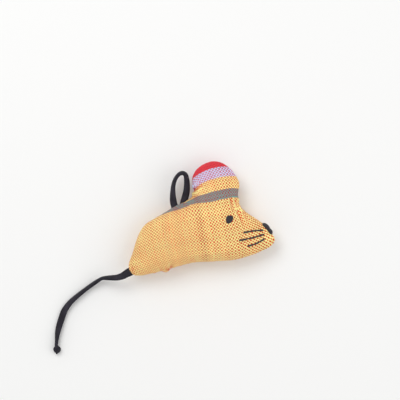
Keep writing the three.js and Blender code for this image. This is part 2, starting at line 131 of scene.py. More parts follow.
def smooth_line(points, steps, closed=False):
    """A centripetal Catmull-Rom line through points, with so many steps between each two."""
    given = np.array([tuple(p) for p in points], float)
    if closed:
        given = np.vstack([given[-1], given, given[:2]])
    else:
        given = np.vstack([2 * given[0] - given[1], given, 2 * given[-1] - given[-2]])
    line = []
    for a, b, c, d in zip(given, given[1:], given[2:], given[3:]):
        gaps = [max(np.sum((q - p) ** 2) ** 0.25, 1e-6) for p, q in ((a, b), (b, c), (c, d))]
        first = ((b - a) / gaps[0] - (c - a) / (gaps[0] + gaps[1]) + (c - b) / gaps[1]) * gaps[1]
        last = ((c - b) / gaps[1] - (d - b) / (gaps[1] + gaps[2]) + (d - c) / gaps[2]) * gaps[1]
        for step in range(steps):
            t = step / steps
            line.append(
                b + first * t
                + (3 * (c - b) - 2 * first - last) * t ** 2
                + (2 * (b - c) + first + last) * t ** 3
            )
    if not closed:
        line.append(given[-2])
    return [Vector(tuple(p)) for p in line]


def spread(values, steps):
    """Values given at a line's points, spread over its steps."""
    places = np.linspace(0, len(values) - 1, (len(values) - 1) * steps + 1)
    return np.interp(places, range(len(values)), values)


def shares(count):
    """So many even steps from 0 to 1."""
    return [step / (count - 1) for step in range(count)]


# The girth of a section, as a share of its width and thickness together
GIRTH_SHARE = 1.6


def section_place(line, place, width, thickness, twist):
    """How a section of radius 1 lies at a place on a line: flat in the ground's plane, then twisted."""
    along = line[min(place + 1, len(line) - 1)] - line[max(place - 1, 0)]
    along.normalize()
    side = UP if abs(along.z) < 0.9 else Vector((1, 0, 0))
    flat_across = side.cross(along).normalized()
    flat_up = along.cross(flat_across)
    turn = math.radians(twist)
    across = flat_across * math.cos(turn) + flat_up * math.sin(turn)
    through = flat_up * math.cos(turn) - flat_across * math.sin(turn)
    matrix = Matrix.Identity(4)
    matrix.col[0][:3] = across * width / 2
    matrix.col[1][:3] = through * thickness / 2
    matrix.col[2][:3] = along
    matrix.col[3][:3] = line[place]
    return matrix


def drawn_out(bm, edges):
    """Extrudes a rim once, and gives the new points and the new rim."""
    made = bmesh.ops.extrude_edge_only(bm, edges=edges)["geom"]
    verts = [g for g in made if isinstance(g, bmesh.types.BMVert)]
    rim = [g for g in made if isinstance(g, bmesh.types.BMEdge) and g.is_boundary]
    return verts, rim


def swept(line, widths, thicknesses, twists=0, squareness=2.0, segments=16):
    """A closed bmesh skin swept along a line. A width, thickness or twist is one number for the
    whole line, or one for each of its points. A squareness of 2 gives a round or oval section, and
    more makes it boxier. The UV map "thread" holds the way round and along in millimetres."""
    widths, thicknesses, twists = [
        np.broadcast_to(values, len(line)) for values in (widths, thicknesses, twists)]
    bm = bmesh.new()
    around_layer = bm.verts.layers.float.new("around")
    along_layer = bm.verts.layers.float.new("along")
    ring = bmesh.ops.create_circle(bm, segments=segments, radius=1)["verts"]
    for place, vert in enumerate(ring):
        x, y = vert.co.x, vert.co.y
        vert.co.x = math.copysign(abs(x) ** (2 / squareness), x)
        vert.co.y = math.copysign(abs(y) ** (2 / squareness), y)
        vert[around_layer] = place / segments
    sections = [
        section_place(line, place, widths[place], thicknesses[place], twists[place])
        for place in range(len(line))
    ]
    bmesh.ops.transform(bm, matrix=sections[0], verts=ring)
    first_rim = rim = bm.edges[:]
    travelled = 0
    for place in range(1, len(line)):
        verts, rim = drawn_out(bm, rim)
        step = sections[place] @ sections[place - 1].inverted()
        bmesh.ops.transform(bm, matrix=step, verts=verts)
        travelled += (line[place] - line[place - 1]).length
        for vert in verts:
            vert[along_layer] = travelled
    bmesh.ops.contextual_create(bm, geom=first_rim)
    bmesh.ops.contextual_create(bm, geom=rim)
    bmesh.ops.recalc_face_normals(bm, faces=bm.faces[:])
    girth = (max(widths) + max(thicknesses)) * GIRTH_SHARE
    uv = bm.loops.layers.uv.new("thread")
    for face in bm.faces:
        places = [loop.vert[around_layer] for loop in face.loops]
        wraps = max(places) - min(places) > 0.5
        for loop, place in zip(face.loops, places):
            whole = place + 1 if wraps and place < 0.5 else place
            loop[uv].uv = (whole * girth, loop.vert[along_layer])
    return bm


def new_object(name, bm):
    """Makes a bmesh into an object in the scene."""
    mesh = bpy.data.meshes.new(name)
    bm.to_mesh(mesh)
    bm.free()
    made = bpy.data.objects.new(name, mesh)
    bpy.context.collection.objects.link(made)
    return made


def add_piece(name, bm, material, body=None, replaces=(), levels=0):
    """Makes a bmesh in millimetres into a smooth-shaded piece that rides on a body."""
    bmesh.ops.scale(bm, vec=(MM, MM, MM), verts=bm.verts[:])
    piece = new_object(name, bm)
    piece.data.shade_smooth()
    piece.data.materials.append(material)
    if levels:
        add_subdivision(piece, levels)
    if body:
        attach(piece, body)
    if replaces:
        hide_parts(*replaces)
    return piece


def add_subdivision(piece, levels):
    """Smooths a piece with a live modifier, alike in the render and on the screen."""
    modifier = piece.modifiers.new("smooth", "SUBSURF")
    modifier.levels = levels
    modifier.render_levels = levels


def joined(bmeshes):
    """One bmesh of several, which keeps their UV maps."""
    whole = bmesh.new()
    for bm in bmeshes:
        mesh = bpy.data.meshes.new("part")
        bm.to_mesh(mesh)
        bm.free()
        whole.from_mesh(mesh)
        bpy.data.meshes.remove(mesh)
    return whole


# Materials

def linear(hex_colour):
    """An sRGB hex colour as the linear RGBA that sockets take."""
    values = [int(hex_colour[i:i + 2], 16) / 255 for i in (1, 3, 5)]
    return [v / 12.92 if v <= 0.04045 else ((v + 0.055) / 1.055) ** 2.4 for v in values] + [1]


def add_node(tree, kind, inputs=None, **settings):
    """Adds a shader node. An input is a value, a socket to link, or a node, whose first output is
    linked. A Mix of colours takes its share at 0 and its colours at 6 and 7, and gives the mixed
    one at outputs[2]."""
    made = tree.nodes.new("ShaderNode" + kind)
    for key, value in settings.items():
        setattr(made, key, value)
    for key, value in (inputs or {}).items():
        if isinstance(value, bpy.types.Node):
            value = value.outputs[0]
        if isinstance(value, bpy.types.NodeSocket):
            tree.links.new(value, made.inputs[key])
        else:
            made.inputs[key].default_value = value
    return made


def new_material(name):
    """A material with no nodes yet, and its node tree."""
    material = bpy.data.materials.new(name)
    material.use_nodes = True
    material.node_tree.nodes.clear()
    return material, material.node_tree


def finished(material, shader_inputs):
    """The material, with its nodes ending in a Principled shader."""
    shader = add_node(material.node_tree, "BsdfPrincipled", shader_inputs)
    add_node(material.node_tree, "OutputMaterial", {"Surface": shader})
    return material


# How far apart the cotton's threads lie, in millimetres: their real size, which the render just shows
THREAD_PITCH = 0.8
# How far a thread rises over the next one and sinks under it, in shares of its own height
THREAD_WAVE = 0.62
# The warp thread's thickness, as a share of the weft's
WARP_SHARE = 0.93
# The power of a sine that a thread's section follows: less than 1 makes it fuller
THREAD_FULLNESS = 0.6
# Where along the weft the head begins and from where on the crossings lean fully, in millimetres
HEAD_STARTS, HEAD_LEANS = 14.0, 22.0
# How far the weft has to lead over the warp to begin to show at a crossing, and to cover it
WEFT_SHOWS, WEFT_COVERS = 1.28, 1.44
# Deeper than this, in millimetres, a fold opens the weave, and so deepens the painted shade in its
# crease, no further
FOLD_OPENING_AND_SHADE_LIMIT = 0.55

# The cloth's colours: the weft's, and that of the warp that shows between
PLAIN_CLOTH = ("#faee9c", "#d8340e")
# The weft stripes across it, each with the millimetre across the weft at which it starts
STRIPES = [
    (0.0, "#699d97", "#ae2f36"),
    (4.8, *PLAIN_CLOTH),
    (11.2, "#cfd8f6", "#c63c58"),
    (16.8, "#e53441", "#c92835"),
]


def thread_section(tree, place):
    """One set of threads, by the place across them: its wave, up or down, height and slope."""
    turn = add_node(tree, "Math", {0: place, 1: math.pi}, operation="MULTIPLY")
    wave = add_node(tree, "Math", {0: turn}, operation="SINE")
    up_or_down = add_node(tree, "Math", {0: wave}, operation="SIGN")
    size = add_node(tree, "Math", {0: wave}, operation="ABSOLUTE")
    height = add_node(tree, "Math", {0: size, 1: THREAD_FULLNESS}, operation="POWER")
    slope = add_node(tree, "Math", {0: turn}, operation="COSINE")
    return wave, up_or_down, height, slope


def stripe_colours(tree, weft_number):
    """The colours of the weft and the warp, by the weft thread's number."""
    weft_colour, warp_colour = [linear(colour) for colour in PLAIN_CLOTH]
    place = add_node(tree, "Math", {0: weft_number, 1: THREAD_PITCH}, operation="MULTIPLY")
    for start, weft, warp in STRIPES:
        past = add_node(tree, "Math", {0: place, 1: start - THREAD_PITCH / 2}, operation="GREATER_THAN")
        weft_colour = add_node(tree, "Mix", {
            0: past, 6: weft_colour, 7: linear(weft)}, data_type="RGBA").outputs[2]
        warp_colour = add_node(tree, "Mix", {
            0: past, 6: warp_colour, 7: linear(warp)}, data_type="RGBA").outputs[2]
    return weft_colour, warp_colour


def striped_cotton():
    """Plain-woven cotton: thick pale yellow weft over an orange-red warp, with a grey-green, a
    lilac and a red weft stripe. Each crossing shows the thread on top as a small raised lozenge.
    The threads are uneven, which gives faint bands from back to belly and redder patches. In the folds
    the warp shows most, which here also serves as painted shade darkening the creases, and on the low
    ridges beside them the weft covers more, as a painted highlight."""
    material, tree = new_material("striped_cotton")

    # over 2.5 mm or so, the threads wander a little from their course
    course = add_node(tree, "UVMap", uv_map="weave")
    wobble = add_node(tree, "TexNoise", {"Vector": course, "Scale": 1 / 2.5, "Detail": 2.0})
    centred = add_node(tree, "VectorMath", {
        0: wobble.outputs["Color"], 1: (0.5, 0.5, 0.5)}, operation="SUBTRACT")
    shift = add_node(tree, "VectorMath", {0: centred, "Scale": 0.6}, operation="SCALE")
    moved = add_node(tree, "VectorMath", {0: course, 1: shift})
    along, across = add_node(tree, "SeparateXYZ", {0: moved}).outputs[:2]
    warp_place = add_node(tree, "Math", {0: along, 1: THREAD_PITCH}, operation="DIVIDE")
    weft_place = add_node(tree, "Math", {0: across, 1: THREAD_PITCH}, operation="DIVIDE")
    warp_number = add_node(tree, "Math", {0: warp_place}, operation="FLOOR")
    weft_number = add_node(tree, "Math", {0: weft_place}, operation="FLOOR")

    # each thread is round across and waves up and down along, over one thread and under the next
    warp_wave, warp_side, warp_round, warp_slope = thread_section(tree, warp_place)
    weft_wave, weft_side, weft_round, weft_slope = thread_section(tree, weft_place)
    weft_rise = add_node(tree, "Math", {0: warp_wave, 1: weft_side}, operation="MULTIPLY")
    warp_rise = add_node(tree, "Math", {0: weft_wave, 1: warp_side}, operation="MULTIPLY")
    thinner = add_node(tree, "Math", {0: warp_round, 1: WARP_SHARE}, operation="MULTIPLY")
    weft_height = add_node(tree, "Math", {
        0: weft_rise, 1: THREAD_WAVE, 2: weft_round}, operation="MULTIPLY_ADD")
    warp_height = add_node(tree, "Math", {
        0: warp_rise, 1: -THREAD_WAVE, 2: thinner}, operation="MULTIPLY_ADD")
    lead = add_node(tree, "Math", {0: weft_height, 1: warp_height}, operation="SUBTRACT")

    # on the head the cloth is pulled askew, and the crossings lean into slanting rows
    lean = add_node(tree, "MapRange", {
        "Value": along, "From Min": HEAD_STARTS, "From Max": HEAD_LEANS, "To Min": 0.0, "To Max": -0.6})
    between = add_node(tree, "Math", {0: warp_slope, 1: weft_slope}, operation="MULTIPLY")
    lead = add_node(tree, "Math", {0: between, 1: lean, 2: lead}, operation="MULTIPLY_ADD")

    # what makes the weft lie closer or further open: patches of about 7 mm, bands of warp threads,
    # folds, every second warp thread, and the chance of each warp thread and each crossing. The folds'
    # share is partly painted light: redder and darker in the creases as painted shade, paler on the
    # ridges beside them as painted highlight.
    patches = add_node(tree, "TexNoise", {"Vector": course, "Scale": 0.14, "Detail": 2.0})
    warp_bands = add_node(tree, "TexNoise", {
        "W": warp_number, "Scale": 0.17, "Detail": 2.0}, noise_dimensions="1D")
    fold = add_node(tree, "Attribute", attribute_name="fold").outputs["Fac"]
    fold = add_node(tree, "Math", {0: fold, 1: FOLD_OPENING_AND_SHADE_LIMIT}, operation="MINIMUM")
    every_second = add_node(tree, "Math", {0: warp_number, 1: 1}, operation="PINGPONG")
    warp_chance = add_node(tree, "TexWhiteNoise", {"W": warp_number}, noise_dimensions="1D")
    crossing = add_node(tree, "CombineXYZ", {0: warp_number, 1: weft_number})
    crossing_chance = add_node(tree, "TexWhiteNoise", {"Vector": crossing}, noise_dimensions="2D")
    for unevenness, share in (
            (patches, 1.3), (warp_bands, 0.7), (fold, -1.9),
            (every_second, 0.6), (warp_chance, 0.4), (crossing_chance, 0.2)):
        lead = add_node(tree, "Math", {0: unevenness, 1: share, 2: lead}, operation="MULTIPLY_ADD")
    weft_on_top = add_node(tree, "MapRange", {
        "Value": lead, "From Min": WEFT_SHOWS, "From Max": WEFT_COVERS})

    # no two threads are dyed quite alike
    weft_colour, warp_colour = stripe_colours(tree, weft_number)
    weft_chance = add_node(tree, "TexWhiteNoise", {"W": weft_number}, noise_dimensions="1D")
    weft_tone = add_node(tree, "Math", {0: weft_chance, 1: 0.14, 2: 0.93}, operation="MULTIPLY_ADD")
    warp_tone = add_node(tree, "MapRange", {
        "Value": warp_bands, "From Min": 0.3, "From Max": 0.7, "To Min": 0.82, "To Max": 1.15})
    weft_dyed = add_node(tree, "VectorMath", {0: weft_colour, "Scale": weft_tone}, operation="SCALE")
    warp_dyed = add_node(tree, "VectorMath", {0: warp_colour, "Scale": warp_tone}, operation="SCALE")
    colour = add_node(tree, "Mix", {0: weft_on_top, 6: warp_dyed, 7: weft_dyed}, data_type="RGBA")
    height = add_node(tree, "Math", {0: weft_height, 1: warp_height}, operation="MAXIMUM")
    bump = add_node(tree, "Bump", {"Height": height, "Strength": 0.3, "Distance": 0.1 * MM})
    return finished(material, {
        "Base Color": colour.outputs[2], "Normal": bump, "Roughness": 0.85,
        "Sheen Weight": 0.05, "Sheen Roughness": 0.5})


def matt_lace():
    """Flat lace of black cotton: matt and nearly black, with a fine grain and greyer patches of
    wear. The real grain is finer, and is drawn at half a millimetre so that it shows."""
    material, tree = new_material("matt_black_lace")
    place = add_node(tree, "TexCoord").outputs["Object"]
    grain = add_node(tree, "TexNoise", {"Vector": place, "Scale": 1 / (0.5 * MM), "Detail": 4.0})
    wear = add_node(tree, "TexNoise", {"Vector": place, "Scale": 1 / (4 * MM), "Detail": 3.0})
    worn = add_node(tree, "MapRange", {"Value": wear, "From Min": 0.35, "From Max": 0.7})
    colour = add_node(tree, "Mix", {
        0: worn, 6: linear("#1b1822"), 7: linear("#2c2934")}, data_type="RGBA")
    bump = add_node(tree, "Bump", {"Height": grain, "Strength": 0.35, "Distance": 0.08 * MM})
    return finished(material, {
        "Base Color": colour.outputs[2], "Normal": bump, "Roughness": 0.7,
        "Specular IOR Level": 0.3})


# How far apart the ridges of a twisted thread lie along it, in millimetres, and how they slant
PLY_PITCH = 0.45
PLY_SLANT = 1.6


def twisted_cotton(name, dark, light):
    """Cotton thread of several plies: a soft gloss, and its twist as slanting ridges. The ridges'
    crests are painted lighter and their grooves darker, as painted shading.
    """
    material, tree = new_material(name)
    course = add_node(tree, "UVMap", uv_map="thread")
    around, along = add_node(tree, "SeparateXYZ", {0: course}).outputs[:2]
    slant = add_node(tree, "Math", {0: along, 1: PLY_SLANT, 2: around}, operation="MULTIPLY_ADD")
    turn = add_node(tree, "Math", {0: slant, 1: 2 * math.pi / PLY_PITCH}, operation="MULTIPLY")
    ridge = add_node(tree, "Math", {0: turn}, operation="SINE")
    # painted shading: the colour follows the ridges' height, light on the crests and dark in the
    # grooves
    painted_ply_shading = add_node(tree, "Math", {0: ridge, 1: 0.5, 2: 0.5}, operation="MULTIPLY_ADD")
    colour = add_node(tree, "Mix", {0: painted_ply_shading, 6: linear(dark), 7: linear(light)}, data_type="RGBA")
    bump = add_node(tree, "Bump", {"Height": ridge, "Strength": 0.5, "Distance": 0.06 * MM})
    return finished(material, {"Base Color": colour.outputs[2], "Normal": bump, "Roughness": 0.45})


def polyester_fill():
    """Loose polyester fibre: white, matt and woolly. Its fibres are far too fine to show, and are drawn
    as curls of about a millimetre, painted greyer where they sink, as painted shade in their hollows."""
    material, tree = new_material("polyester_fill")
    place = add_node(tree, "TexCoord").outputs["Object"]
    curl = add_node(tree, "TexNoise", {
        "Vector": place, "Scale": 1 / (0.9 * MM), "Detail": 6.0, "Distortion": 1.5})
    # painted shade: greyer in the curls' hollows, white on their tops
    colour = add_node(tree, "Mix", {
        0: curl, 6: linear("#dedbd2"), 7: linear("#faf9f5")}, data_type="RGBA")
    bump = add_node(tree, "Bump", {"Height": curl, "Strength": 0.8, "Distance": 0.3 * MM})
    return finished(material, {"Base Color": colour.outputs[2], "Normal": bump, "Roughness": 0.95})


cotton = striped_cotton()
lace = matt_lace()
# each thread's colour in the grooves, darkened as painted shade, and on the crests, lightened as
# painted highlight
black_thread = twisted_cotton("black_embroidery_cotton", "#19161c", "#39343e")
red_thread = twisted_cotton("red_sewing_thread", "#d65c3c", "#ea8257")
fill = polyester_fill()


# The tail and the hang loop

# How far a section's rounded corner reaches, as a share of a square one's
CORNER_REACH = 0.94


def lifted(line, widths, thicknesses, twists):
    """The line, raised where the section on it would reach below the ground."""
    for point, width, thickness, twist in zip(line, widths, thicknesses, twists):
        turn = math.radians(twist)
        half = (width * abs(math.sin(turn)) + thickness * abs(math.cos(turn))) / 2
        point.z = max(point.z, half * CORNER_REACH)
    return line


# How far the tail's lace runs on between the panels, and how wide and thick it is inside the knot
TAIL_SEWN_IN = 2.2
LACE_IN_KNOT = (2.1, 1.5)
# Over how many points of its line the lace is pressed by its stitches, and narrowed by the knot
PRESSED_POINTS, NARROWED_POINTS = 24, 12
# How long the bit of each lace is that lies between the seam allowances
SEWN_END_LENGTH = 3.3
KNOT_MIDDLE = Vector((-74.2, -67.0, 1.78))
KNOT_CORE = (2.0, 2.0, 1.5)
# The knot's turns: each one's lean in degrees, its place along the lace, its reach and its width
KNOT_TURNS = [(38, -0.6, 1.14, 1.5), (46, 0.66, 1.14, 1.3), (-28, 0.7, 1.16, 1.2)]
KNOT_TURN_THICKNESS = 0.9
# How much of a whole circle each turn makes, how far its ends are tucked in, as a share of its reach,
# and how much higher it is than it reaches out
KNOT_TURN_SHARE = 0.94
KNOT_TURN_TUCK = 0.5
KNOT_TURN_RISE = 1.18
# The lace's cut end, from the knot's middle
CUT_END = [(0, -1.3, 0.3), (-0.15, -2.1, 0.1), (-0.2, -2.6, -0.2)]


def tail():
    """The tail's lace, from between the panels to its knot."""
    steps, sewn_steps, knot_steps = 8, 4, 5
    free = smooth_line(
        [TAIL_HINGE + Vector((x, y, z - SEAM_HEIGHT)) for x, y, z in TAIL_ROUTE], steps)
    sewn_in = smooth_line([TAIL_HINGE - TAIL_OUT * TAIL_SEWN_IN, TAIL_HINGE], sewn_steps)
    line = sewn_in[:-1] + free
    twists = np.concatenate([np.zeros(sewn_steps), spread(TAIL_TWIST, steps)])
    from_start = np.arange(len(line))
    # pressed wider and thinner where it is sewn in
    pressed = np.clip(1 - from_start / PRESSED_POINTS, 0, 1)
    near_knot = np.clip(1 - from_start[::-1] / NARROWED_POINTS, 0, 1)
    widths = LACE_WIDTH * (1 + 0.2 * pressed - 0.15 * near_knot)
    thicknesses = LACE_THICKNESS * (1 - 0.12 * pressed)
    line = lifted(line, widths, thicknesses, twists)
    # gathered narrow where it runs on into the knot
    into_knot = smooth_line(
        [line[-1], KNOT_MIDDLE + Vector((-0.4, 1.9, 0.05)), KNOT_MIDDLE], knot_steps)[1:]
    gathered = np.linspace(0, 1, len(into_knot) + 1)[1:]
    width, thickness = LACE_IN_KNOT
    bm = swept(
        line + into_knot,
        np.concatenate([widths, widths[-1] + (width - widths[-1]) * gathered]),
        np.concatenate([thicknesses, LACE_THICKNESS + (thickness - LACE_THICKNESS) * gathered]),
        np.concatenate([twists, np.full(len(into_knot), twists[-1])]),
        squareness=3, segments=20)
    piece = add_piece("tail_lace", bm, lace, replaces=["tail"])
    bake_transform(piece)
    return piece, line


def knot_turn(lean, offset, reach, width):
    """One turn of the lace round the knot, standing on edge, its ends tucked into the middle."""
    line = []
    for share in shares(33):
        angle = 2 * math.pi * KNOT_TURN_SHARE * (share - 0.5) + math.pi / 2
        tuck = abs(2 * share - 1) ** 8
        out = reach * (1 - KNOT_TURN_TUCK * tuck)
        line.append(Vector((out * math.cos(angle), KNOT_TURN_RISE * out * math.sin(angle), offset)))
    bm = swept(line, width, KNOT_TURN_THICKNESS, 90, squareness=2.1, segments=14)
    stand = Matrix.Rotation(math.radians(lean), 4, "Z") @ Matrix.Rotation(math.pi / 2, 4, "X")
    bmesh.ops.transform(bm, matrix=Matrix.Translation(KNOT_MIDDLE) @ stand, verts=bm.verts[:])
    return bm


def knot():
    """The overhand knot in the tail's end: turns drawn tight round the lace, and its cut end."""
    core = bmesh.new()
    bmesh.ops.create_uvsphere(core, u_segments=20, v_segments=12, radius=1)
    bmesh.ops.scale(core, vec=KNOT_CORE, verts=core.verts[:])
    bmesh.ops.translate(core, vec=KNOT_MIDDLE + Vector((0, -0.25, 0)), verts=core.verts[:])
    core.loops.layers.uv.new("thread")
    turns = [knot_turn(*turn) for turn in KNOT_TURNS]
    end = smooth_line([KNOT_MIDDLE + Vector(p) for p in CUT_END], 4)
    cut_end = swept(
        end, np.linspace(1.6, 0.8, len(end)), np.linspace(1.3, 0.7, len(end)),
        squareness=2.6, segments=14)
    whole = joined([core, *turns, cut_end])
    return add_piece("tail_knot_turns", whole, lace, "tail_strap", ["tail_knot"], levels=1)


def hang_loop():
    """The hang loop's lace, twisted on edge over its top, with both ends between the panels."""
    steps = 6
    line = smooth_line([
        LOOP_HINGE + LOOP_ALONG * along * LOOP_REACH + LOOP_OUT * out * LOOP_REACH
        for along, out in LOOP_ROUTE
    ], steps)
    bm = swept(
        line, LACE_WIDTH, LACE_THICKNESS, spread(LOOP_TWIST, steps), squareness=3, segments=20)
    piece = add_piece("hang_loop_lace", bm, lace, replaces=["hang_loop"])
    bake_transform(piece)
    return piece


def sewn_end(name, node, out):
    """The last bit of a lace, flat between the seam allowances, on the way out of the seam."""
    low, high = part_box(node)
    middle = (low + high) / 2 / MM
    half = out * SEWN_END_LENGTH / 2
    line = smooth_line([middle + half, middle - half], 6)
    bm = swept(line, LACE_WIDTH * 0.98, LACE_THICKNESS * 0.96, squareness=3, segments=20)
    return add_piece(name, bm, lace, "toy", [node])


tail_piece, tail_line = tail()
knot_piece = knot()
hang_loop()
sewn_end("tail_end_in_seam", "tail_sewn_end", TAIL_OUT)
sewn_end("loop_end_in_seam_front", "loop_sewn_end_front", LOOP_OUT)
sewn_end("loop_end_in_seam_rear", "loop_sewn_end_rear", LOOP_OUT)


# The stuffed cloth

def solid_tree(*nodes):
    """The named CAD nodes' surface in millimetres, for finding heights on it."""
    points, faces = [], []
    for name in nodes:
        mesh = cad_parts[name].data
        first = len(points)
        points.extend(v.co / MM for v in mesh.vertices)
        faces.extend([first + i for i in p.vertices] for p in mesh.polygons)
    return BVHTree.FromPolygons(points, faces)


near_solid = solid_tree("near_panel")
seam_line = smooth_line([(x, y, 0) for x, y in SEAM_OUTLINE], 20, closed=True)
seam_tree = KDTree(len(seam_line))
for number, point in enumerate(seam_line):
    seam_tree.insert(point, number)
seam_tree.balance()
seam_steps = [(b - a).length for a, b in zip(seam_line, seam_line[1:])]
seam_lengths = np.concatenate([[0], np.cumsum(seam_steps)])


def on_plan(point):
    """A point's place in the ground's plane."""
    return Vector((point.x, point.y, 0))


def seam_near(point):
    """The seam's place nearest to a point: where it is, the way inwards there, how far along."""
    place, number, _ = seam_tree.find(on_plan(point))
    along = seam_line[(number + 1) % len(seam_line)] - seam_line[number - 1]
    inward = Vector((along.y, -along.x, 0)).normalized()
    return place, inward, seam_lengths[number]


def closed_bag():
    """Rings of the seam's outline drawn in to the crown, raised to the solid's swell on the near
    side and mirrored to the far side. Heights are measured from the seam."""
    bm = bmesh.new()
    outline = smooth_line([(x, y, 0) for x, y in SEAM_OUTLINE], 6, closed=True)
    ring = bmesh.ops.create_circle(bm, segments=len(outline), radius=1)["verts"]
    for vert, place in zip(ring, outline):
        vert.co = place
    rim = bm.edges[:]
    rings = 30
    shares = [math.sin(math.pi / 2 * step / rings) for step in range(rings, 1, -1)]
    for before, after in zip(shares, shares[1:]):
        verts, rim = drawn_out(bm, rim)
        size = after / before
        bmesh.ops.scale(bm, vec=(size, size, 1), space=Matrix.Translation(-CROWN), verts=verts)
    bmesh.ops.contextual_create(bm, geom=rim)
    on_seam = set(ring)
    inner = [v for v in bm.verts if v not in on_seam]
    for vert in inner:
        hit = near_solid.ray_cast(Vector((vert.co.x, vert.co.y, OVER_ALL)), -UP)[0]
        vert.co.z = max(hit.z - SEAM_HEIGHT, 0) if hit else 0
    for _ in range(2):
        bmesh.ops.smooth_vert(bm, verts=inner, factor=0.5, use_axis_z=True)
    copy = bmesh.ops.duplicate(bm, geom=bm.verts[:] + bm.edges[:] + bm.faces[:])["geom"]
    mirrored = [g for g in copy if isinstance(g, bmesh.types.BMVert)]
    bmesh.ops.scale(bm, vec=(1, 1, -1), verts=mirrored)
    bmesh.ops.remove_doubles(bm, verts=bm.verts[:], dist=0.02)
    bmesh.ops.recalc_face_normals(bm, faces=bm.faces[:])
    return bm


# The cloth solver works at ten times the real size, where its own thresholds don't matter
SOLVER = 0.01
# The even squares' size, how near the seam a point is held, how far the seam is drawn in, and the
# furthest that a point may move, in millimetres
VOXEL = 0.75
HELD = 1.2
DRAWN_IN = 0.7
SWELL = 1.2
# How many steps of the solver the bag swells for
CLOTH_STEPS = 20


def bake(piece):
    """Gives a piece the mesh that its modifiers make, and takes them off it."""
    evaluated = piece.evaluated_get(bpy.context.evaluated_depsgraph_get())
    mesh = bpy.data.meshes.new_from_object(evaluated)
    piece.modifiers.clear()
    old = piece.data
    piece.data = mesh
    bpy.data.meshes.remove(old)


def evened_out(piece, size):
    """Remeshes a piece to even squares of a size."""
    remesh = piece.modifiers.new("even", "REMESH")
    remesh.mode = "VOXEL"
    remesh.voxel_size = size
    bake(piece)


def hold_seam(bag):
    """Draws the seam's points in, holds them there, and keeps the shape the cloth was cut to."""
    bag.shape_key_add(name="Basis")
    cut = bag.shape_key_add(name="cut")
    held = bag.vertex_groups.new(name="seam")
    basis = bag.data.shape_keys.key_blocks["Basis"]
    for vert in bag.data.vertices:
        point = vert.co / SOLVER
        place, inward, _ = seam_near(point)
        flat = on_plan(point)
        if abs(point.z) < 0.5 * VOXEL and (flat - place).length < HELD:
            held.add([vert.index], 1, "REPLACE")
            drawn = (flat + inward * DRAWN_IN) * SOLVER
            basis.data[vert.index].co = drawn
            vert.co = drawn
    return cut, held


def blow_up(bag, cut, held):
    """Blows the bag up as cloth of light cotton, and then keeps its swell within bounds."""
    cloth = bag.modifiers.new("cloth", "CLOTH")
    cloth.settings.quality = 6
    cloth.settings.mass = 0.3
    cloth.settings.tension_stiffness = 25
    cloth.settings.compression_stiffness = 25
    cloth.settings.shear_stiffness = 8
    cloth.settings.bending_stiffness = 0.15
    cloth.settings.use_pressure = True
    cloth.settings.uniform_pressure_force = 3
    cloth.settings.effector_weights.gravity = 0
    cloth.settings.shrink_min = -0.02
    cloth.settings.vertex_group_mass = held.name
    cloth.settings.rest_shape_key = cut
    cloth.collision_settings.use_collision = False
    start = [v.co.copy() for v in bag.data.vertices]
    for number in range(1, CLOTH_STEPS + 1):
        bpy.context.scene.frame_set(number)
    bake(bag)
    bpy.context.scene.frame_set(1)
    most = SWELL * SOLVER
    for vert, before in zip(bag.data.vertices, start):
        moved = vert.co - before
        if moved.length > most:
            vert.co = before + moved * (most / moved.length)


def stuffed(bm):
    """The bag remeshed to even squares and blown up as cloth, with the seam held and drawn in."""
    bmesh.ops.scale(bm, vec=(SOLVER, SOLVER, SOLVER), verts=bm.verts[:])
    bag = new_object("bag", bm)
    evened_out(bag, VOXEL * SOLVER)
    blow_up(bag, *hold_seam(bag))
    return bag


# Where the straps come out between the panels, and half the width of each
STRAP_ROOTS = [
    (Vector((-36.6, -27.25, 0)), LACE_WIDTH / 2),
    (Vector((-8.9, 8.6, 0)), LACE_WIDTH / 2),
    (Vector((-14.1, 6.25, 0)), LACE_WIDTH / 2),
]
# Folds in the stuffed cloth: each from one place to another, how deep, and half how wide
CREASES = [
    ((14.9, 9.8), (16.5, 2.4), 0.7, 0.7),
    ((17.2, 9.4), (18.6, 3.4), 0.75, 0.8),
    ((18.6, 3.4), (22.2, -5.6), 0.8, 0.8),
    ((19.4, 8.2), (21.3, 2.8), 0.6, 0.75),
    ((21.3, 2.8), (23.9, -2.6), 0.5, 0.75),
    ((21.0, 5.4), (25.8, -0.4), 0.45, 0.7),
    ((-4.1, 14.3), (0.6, 17.9), 1.2, 0.85),
    ((-5.6, 10.6), (-1.4, 11.4), 0.3, 0.9),
    ((-35.2, -25.6), (-30.2, -24.2), 0.3, 1.1),
    ((-34.6, -27.6), (-29.6, -27.0), 0.22, 0.9),
    ((36.0, -8.1), (34.2, -7.6), 0.45, 0.6),
    ((-16.0, -25.9), (-14.8, -22.6), 0.6, 0.7),
    ((-20.6, -27.0), (-20.4, -24.2), 0.35, 0.8),
    ((-13.4, 5.2), (-12.3, 1.4), 0.25, 0.9),
    ((-8.6, 7.4), (-6.4, 3.8), 0.25, 0.9),
]
# Where the cloth was left open for turning and stuffing, and closed by hand
CLOSED_OPENING = Vector((-18.2, -26.5, 0))
CLOSING_KNOT = Vector((-17.6, -25.6, 0))
CLOSING_KNOT_REACH = (0.75, 0.6)
# How far inside the seam the cloth's edge lies
SEAM_TAKES = 0.35
# How high over the seam it pulls at the cloth: close by, at its lips, and at all
PULL_CLOSE, PULL_LIPS, PULL_REACH = 1.6, 3, 6
# How far the seam draws the cloth in close by, in millimetres
DRAWN_CLOSE = 0.3
# The seam's puckers, its longer waves and the gathers in its edge: how deep, and how many to the
# millimetre
PUCKER_DEPTH, PUCKER_RATE = 0.4, 0.42
WAVE_DEPTH, WAVE_RATE = 0.3, 0.16
GATHER_DEPTH, GATHER_RATE = 0.12, 0.33
